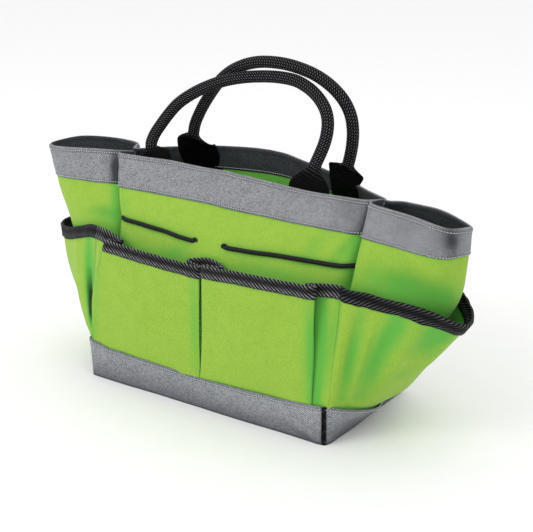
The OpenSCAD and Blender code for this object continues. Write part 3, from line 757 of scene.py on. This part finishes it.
# painted shadow: the slit left of the front pocket, in the last columns before the corner, is painted dark,
# on to near black
SLIT_COLUMN, SLIT_COLUMNS, SLIT_Z, SLIT_HEIGHT = 5.5, 2.4, 76, 24
slit_shadow_mask = np.exp(-((np.arange(len(pocket)) - len(pocket) + SLIT_COLUMN) / SLIT_COLUMNS) ** 2)[:, None]
slit_shadow_mask = slit_shadow_mask * np.clip(1.5 - abs(pocket[..., 2] - SLIT_Z) / SLIT_HEIGHT, 0, 1)
pocket_painted_shade = np.maximum(pocket_painted_shade, slit_shadow_mask) + slit_shadow_mask

pocket_rows = []
for side, short, g, n in by_side(pocket, pocket_n, corner_col):
    path = sheeted(0, LIP_ROW, 0.0, -POCKET_THICK)
    tone = on_side(pocket_painted_shade, side, corner_col)[:, [p[0] for p in path]]
    panel = loft(short + "_pocket", layered(g, n, path), GREEN, tone=tone, even=False,
                 node=short + "_pocket_panel", slot="pocket_fabric")
    # the inside of the pocket near its lip is painted lighter green, as painted light
    recoloured_between(panel, len(path), len(path) // 2, len(path) // 2 + PAINTED_LIGHT_ROWS, GREEN_INSIDE_PAINTED_LIGHT)
    path = folded(TAPE_ROW, LIP_ROW, TAPE_ROW, outer=1.1, inner=-2.4, thick=0.9, rise=1.7)
    lumpy = g + n * np.abs(ripples(g, 61, 11, 0.6))[..., None]
    loft(short + "_binding", layered(lumpy, n, path), END_BINDING_PAINTED_SHADE if side.endswith("end") else BINDING,
         node=short + "_pocket_binding", slot="binding_tape")
    pocket_rows.append((g[:, TAPE_ROW + 1] + THREAD_OUT * n[:, TAPE_ROW + 1], n[:, TAPE_ROW + 1]))
stitches("binding_stitching", pocket_rows, BLACK_THREAD, radius=0.3, slot="binding_tape")

# ---------------------------------------------------------------- the base
base_z = np.linspace(0, BAND_TOP, 15)
rings = [smooth_at(r, ring_u) for r in LEVELS[:2]]
# the front top edge of the band rises at both corners and dips in the middle
edge = np.interp(rings[1][:, 0], [-145, -132, -118, -60, 0, 60, 100, 135, 145],
                 [5, 3.5, 0, -1.5, -3.5, -2, 0, 2.5, 3.5])
rings[1][:, 2] += edge * np.clip((-rings[1][:, 1] - 20) / 50, 0, 1)
base = np.stack([rings[0] + (rings[1] - rings[0]) * (z / BAND_TOP) for z in base_z], 1)
base_marks = [((100, -77, 17), (136, -77, 2), 3.5, 2.2), ((108, -77, 8), (138, -77, 0), 4, -0.7),
              ((-100, -77, 18), (-60, -77, 22), 12, -0.8), ((20, -77, 12), (60, -77, 18), 14, 0.8),
              ((150, -60, 30), (160, -30, 20), 8, 1.2)]
base = base + normals(base) * (ridges(base, base_marks) + ripples(base, 23, 55, 0.45))[..., None]
base_n = normals(base)
grow = np.linspace(1.4, 3.0, len(base_z))
base_path = [(r, grow[r], 0) for r in range(len(base_z))]
base_path[-1] = (len(base_z) - 1, grow[-1] - 0.5, 0.2)
base_loop = base_path + [(r, grow[r] - 1.3, 0) for r in reversed(range(len(base_z)))]
base_rows = []
row = len(base_z) - 2
for _, short, g, n in by_side(base, base_n, seam_col):
    # painted shade along the base band's stitch row
    shade_at_stitch_rows = np.zeros((len(g), len(base_loop)))
    shade_at_stitch_rows[:, row] = STITCH_ROW_PAINTED_SHADE
    loft(short + "_base", layered(g, n, base_loop), BASE_GREY, tone=shade_at_stitch_rows, node=short + "_base_band",
         slot="grey_band")
    base_rows.append((g[:, row] + (grow[row] + 0.1) * n[:, row], n[:, row]))
stitches("base_stitching", base_rows, GREY_THREAD, slot="grey_band")

STRIP_COLUMNS = 4
for name, col, node in (("front_strip", 0, "front_corner_strip"), ("back_strip", 2, "back_corner_strip")):
    g, n = (columns(grid, seam_col[col] - STRIP_COLUMNS, seam_col[col]) for grid in (base, base_n))
    path = [(r, grow[r] + 0.8, 0) for r in range(len(base_z))]
    path += [(r, grow[r], 0) for r in reversed(range(len(base_z)))]
    # painted shade of half depth darkens the corner strips
    loft(name, layered(g, n, path), BINDING, tone=np.full((len(g), len(path)), 0.5), node=node,
         slot="binding_tape")


def plate(name, outline, low, high, material, edge, ringed=True, **kw):
    """A thin plate with a rounded edge over an outline in mm; ringed rings the border of each face."""
    centre = outline.mean(0)
    inward = unit(centre - outline)
    levels = [(edge, low), (0.3 * edge, low + 0.3 * (high - low)), (0, (low + high) / 2),
              (0.3 * edge, high - 0.3 * (high - low)), (edge, high)]
    n = len(outline)
    verts, faces = [], []
    for inset, z in levels if ringed else levels[1:-1]:
        verts += [(x, y, z) for x, y in outline + inward * inset]
    m = len(verts) // n
    for a in range(m - 1):
        for b in range(n):
            e = (b + 1) % n
            faces.append([a * n + b, a * n + e, (a + 1) * n + e, (a + 1) * n + b])
    first, last = len(verts), len(verts) + 1
    verts += [(centre[0], centre[1], low), (centre[0], centre[1], high)]
    for b in range(n):
        e = (b + 1) % n
        faces.append([first, e, b])
        faces.append([last, (m - 1) * n + b, (m - 1) * n + e])
    weave = [(x, y, 0) for x, y, z in verts]
    return piece(name, verts, faces, material, weave, sharp=40, **kw)


under = rings[0][:, :2] * np.array([0.992, 0.985])
plate("base_underside", under, 0.0, 2.0, FLOOR_FABRIC, 1.0, ringed=False, node="base_panel",
      slot="base_fabric")
corners = []
for q in range(4):
    cx, cy = (131 if q in (0, 3) else -131), (61 if q in (0, 1) else -61)
    corners += [(cx + 10 * math.cos(t), cy + 10 * math.sin(t))
                for t in np.linspace(q * math.pi / 2, (q + 1) * math.pi / 2, 8)]
plate("base_stiffener", np.array(corners), 2.0, 5.0, BOARD, 1.2, node="base_board", slot="stiffener")

# ---------------------------------------------------------------- the elastic cord
CORD_Z, CORD_R, EYE_R = 166.5, 2.2, 3.0


def beside(x, near_y, off, z=CORD_Z):
    """A point off the shell wall at height z, on the long side near near_y."""
    row = nearest(row_z, z)
    cols = shell[:, row]
    ok = (cols[:, 1] < -25) if near_y < 0 else (cols[:, 1] > 25)
    k = nearest(np.where(ok, cols[:, 0], FAR), x)
    point = cols[k] + off * shell_n[k, row]
    return np.array([point[0], point[1], z])


HOLES = (-21.0, 12.5)
route = [(-128, -18, 167), (-127, -29, 167.5)]
front_x = [(-119, 0.5, 168.3), (-111, 2, 168), (-98, 2, 167.4), (-80, 2, 166.4), (-60, 2, 165.2),
           (-42, 2, 164.1), (-30, 2, 163.4), (-25, 1.6, 163.1), (HOLES[0], -1.5, 162.9),
           (-14, -6, 162.8), (4, -6, 163), (HOLES[1], -1.5, 163.1), (17, 1.8, 163.3), (26, 2, 163.5),
           (46, 2, 164), (68, 2, 164.6), (90, 2, 165.1), (110, 2, 165.6), (128, 2, 166),
           (139, 2, 166.2), (146, 1, 166.4)]
route += [tuple(beside(x, -1, off, z)) for x, off, z in front_x]
route += [(153, -32, CORD_Z), (153, -20, CORD_Z), (153, 0, CORD_Z), (152, 20, CORD_Z)]
back_x = [(146, 1), (138, 2), (126, 2), (108, 2), (90, 2), (70, 2), (50, 2), (30, 2), (20, 1.6), (14, -2),
          (7, -6), (-9, -6), (-14, -2), (-19, 1.8), (-30, 2), (-50, 2), (-70, 2), (-90, 2), (-108, 2),
          (-126, 2), (-138, 2), (-146, 1)]
route += [tuple(beside(x, 1, off)) for x, off in back_x]
route += [(-150, 24, CORD_Z), (-138, 0, CORD_Z)]
route = np.array(route, float)
line = relax(smooth_at(route, parameters(route, 2.0, fewest=3)), 3)
loft("elastic", tube(line, CORD_R, 12, closed=True), ELASTIC, closed=True, node="elastic_cord",
     slot="elastic")
eyes = []
for x, y, z in ((HOLES[0] - 1, -1, 162.9), (HOLES[1] + 1, -1, 163.1), (15, 1, CORD_Z), (-15, 1, CORD_Z)):
    centre, rim_point = beside(x, y, 0.2, z), beside(x + 4, y, 0.2, z)
    t = unit(rim_point - centre)
    q = np.linspace(0, 2 * math.pi, 29)[:-1]
    eyes.append(centre + EYE_R * (np.cos(q)[:, None] * t + np.sin(q)[:, None] * UP))
for k, eye in enumerate(eyes):
    loft("cord_eyelet_%d" % (k + 1), tube(eye, 0.75, 8, closed=True, up=unit(eye[0] - eye[7])), BLACK_THREAD,
         closed=True, slot="elastic")

# ---------------------------------------------------------------- the handles
FRONT_ARCH = [(-111, 5), (-114, 12), (-112, 22), (-107, 32), (-100, 44), (-91, 56), (-78, 66.5),
              (-62, 76), (-42, 84.5), (-22, 90), (0, 93.5), (22, 95), (42, 93.5), (58, 88), (71, 80),
              (81, 70), (86.5, 59), (88.3, 47), (87.5, 36), (85, 25), (82.5, 15), (81.5, 5)]
BACK_ARCH = [(-95, 2), (-93, 10), (-91, 17), (-87, 25), (-78.5, 38.5), (-65, 56), (-52, 70),
             (-38.5, 79.7), (-21.6, 87.3), (-5, 91.4), (10, 92.6), (26, 92.2), (44, 89.3), (62.5, 83.6),
             (78.5, 74.5), (90.5, 63), (97.5, 49.5), (99.5, 35), (98.5, 22), (96.5, 12), (94, 3)]
GRIP_R, WEB_THICK, TAB_DEPTH, TAB_OFFSET = 6.0, 1.0, 30.0, 4.2
SECTION = 28
# x along the rim, height it stands flat, length over which it rolls up, slant, half its width
Tab = namedtuple("Tab", "x stand span slant half")


def handle(name, arch, axis, lean, into, tabs, nodes):
    """One length of webbing: a flat tab inside the hem, a rolled grip, and a flat tab again."""
    lean = math.radians(lean)
    axis = np.array(axis, float)

    def placed(x, h):
        y, a = into * 4.8, -into * lean
        return axis + np.array([x, y * math.cos(a) - h * math.sin(a), y * math.sin(a) + h * math.cos(a)])

    arch = np.array(arch, float)
    pts = np.array([placed(x, h) for x, h in arch])
    plane = placed(0, 1) - placed(0, 0)
    rim_x, rim_y = shell[:, TOP_ROW, 0], shell[:, TOP_ROW, 1]
    usable = (rim_y > 25 if axis[1] > 20 else rim_y < 0) & (abs(rim_x) < 140)
    drop_rows = [r for r in range(TOP_ROW, 0, -1) if row_z[TOP_ROW] - row_z[r] <= TAB_DEPTH][::-2]
    ends = []
    for tab in tabs:
        k = nearest(np.where(usable, rim_x, FAR), tab.x)
        along = unit(shell[(k + 4) % len(shell), TOP_ROW] - shell[k - 4, TOP_ROW])
        along = along if along[0] > 0 else -along
        skew = tab.slant / TAB_DEPTH
        wall = [shell[k, r] - TAB_OFFSET * shell_n[k, r] + along * skew * (row_z[TOP_ROW] - row_z[r])
                for r in drop_rows]
        ends.append((np.array(wall), along))
    (left, left_dir), (right, right_dir) = ends
    path = np.concatenate([left, pts, right[::-1]])
    # flat near the rim, and rolled up a little further on
    fine = parameters(path, 1.6, fewest=2, closed=False)
    line = relax(smooth_at(path, fine, closed=False), 2, closed=False)
    s = lengths(line[:, None], 0)[:, 0]
    start = np.interp(len(left) - 1, fine, s)
    stop = np.interp(len(left) + len(pts), fine, s)
    left_roll = (s - start - tabs[0].stand) / tabs[0].span
    right_roll = (stop - s - tabs[1].stand) / tabs[1].span
    roll = np.clip(np.minimum(left_roll, right_roll), 0, 1)
    roll = roll * roll * (3 - 2 * roll)
    flat = np.where(s < (start + stop) / 2, tabs[0].half, tabs[1].half)
    half = flat + (GRIP_R - flat) * roll
    thick = WEB_THICK + (GRIP_R - WEB_THICK) * roll ** 1.6
    power = 0.22 + 0.78 * roll
    t = unit(np.gradient(line, axis=0))
    normal = unit(np.cross(np.array([1.0, 0, 0]), plane))
    w_left = np.clip(1 - (s - start) / 12, 0, 1)[:, None]
    w_right = np.clip(1 - (stop - s) / 12, 0, 1)[:, None]
    wide = np.cross(normal, t) * (1 - w_left) * (1 - w_right)
    # across points to +x at the left foot and, having turned over the arch, to -x at the right foot
    sign = np.sign(np.sum(np.cross(normal, t)[len(line) // 6] * np.array([1.0, 0, 0])))
    wide = sign * wide + w_left * left_dir - w_right * right_dir
    wide = unit(wide - np.sum(wide * t, 1, keepdims=True) * t)
    over = np.cross(t, wide)
    q = (np.arange(SECTION) + 0.5) * 2 * math.pi / SECTION
    c, d = np.cos(q)[None], np.sin(q)[None]
    a = half[:, None] * np.sign(c) * np.abs(c) ** power[:, None]
    b = thick[:, None] * np.sign(d) * np.abs(d) ** power[:, None]
    groove = roll[:, None] * np.exp(-((q[None] - 1.5 * math.pi) / 0.22) ** 2) * 0.9
    b = b + groove
    loops = line[:, None] + a[..., None] * wide[:, None] + b[..., None] * over[:, None]
    # painted shade: the flat tabs are painted darker than the rolled grip
    tone = np.broadcast_to(0.8 * (1 - roll)[:, None], loops.shape[:2])
    obj = loft(name, loops[:, ::-1], WEBBING, tone=tone, body=None, node=nodes, slot="webbing")
    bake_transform(obj)


handle("front_handle_grip", FRONT_ARCH, (0, -12, 229), 22, 1,
       [Tab(-106, 4, 11, 0, 20), Tab(81.5, 5, 23, 0, 22.5)],
       ["front_left_tab", "front_right_tab", "front_handle_webbing", "front_handle_core"])
handle("back_handle_grip", BACK_ARCH, (0, 47, 236), 5, -1, [Tab(-97, 10, 11, 13, 21), Tab(89, 12, 6, 0, 20)],
       ["back_left_tab", "back_right_tab", "back_handle_webbing", "back_handle_core"])

# ---------------------------------------------------------------- floor and light
FLOOR = 6000
paper = Shader("floor_paper")
grain = paper.noise(paper.add("ShaderNodeTexCoord").outputs["Object"], 40.0)
paper.finish(paper.mix(grain, srgb(247, 247, 247), srgb(251, 251, 251)), grain, 0.9, 0.0001, 0.2)
floor = piece("floor", [(-FLOOR, -FLOOR, 0), (FLOOR, -FLOOR, 0), (FLOOR, FLOOR, 0), (-FLOOR, FLOOR, 0)],
              [(0, 1, 2, 3)], paper.material, body=None)

world = bpy.data.worlds.new("studio")
world.use_nodes = True
world.node_tree.nodes["Background"].inputs[0].default_value = (1, 1, 1, 1)
world.node_tree.nodes["Background"].inputs[1].default_value = 0.97
bpy.context.scene.world = world


def softbox(name, place, aim, size, power):
    data = bpy.data.lights.new(name, "AREA")
    data.shape = "SQUARE"
    data.size = size
    data.energy = power
    light = bpy.data.objects.new(name, data)
    light.location = place
    light.rotation_euler = (Vector(place) - Vector(aim)).to_track_quat("Z", "Y").to_euler()
    bpy.context.scene.collection.objects.link(light)


softbox("key", (-0.9, -1.7, 1.5), (0, 0, 0.1), 1.0, 13)
softbox("fill", (1.8, -0.9, 1.0), (0, 0, 0.1), 1.2, 1.5)
softbox("top", (0.2, 0.6, 2.0), (0, 0, 0.2), 1.5, 3)
